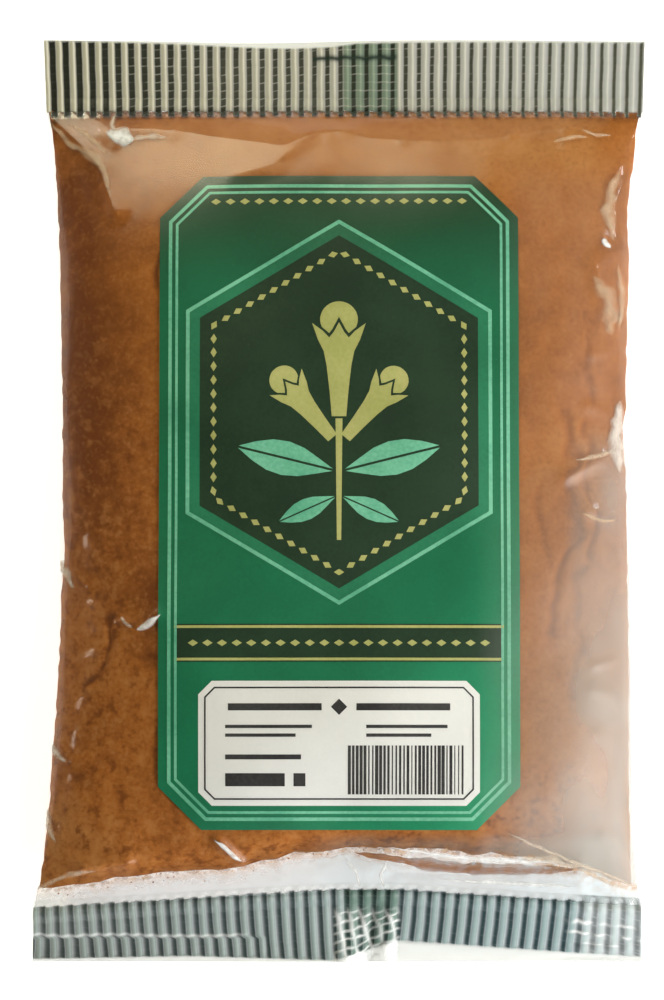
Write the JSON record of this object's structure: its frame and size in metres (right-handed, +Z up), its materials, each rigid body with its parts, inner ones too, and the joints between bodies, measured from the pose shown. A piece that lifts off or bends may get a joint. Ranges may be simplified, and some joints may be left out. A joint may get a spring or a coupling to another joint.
{
  "type": "sealed film pack of ground cloves",
  "caption": "Clear film pillow pack, full of ground cloves, with crimped seals at both ends, a fin seam down its back and a plain printed panel on its front.",
  "frame": {"origin": "middle of the pack's footprint, on the surface that it lies on", "axes": "+X across the pack, +Y along it towards the top seal, +Z up out of its printed front"},
  "size_m": [0.1164, 0.175, 0.0198],
  "materials": {
    "film": "clear glossy film, tight over brown powder",
    "seal": "clear film crimped into ribs, grey-green between light and dark",
    "powder": "dry ground cloves, matte, darker where packed",
    "print": "green, white and gold ink under the film's gloss"
  },
  "bodies": {
    "root": {"bag": "film"}
  },
  "joints": []
}
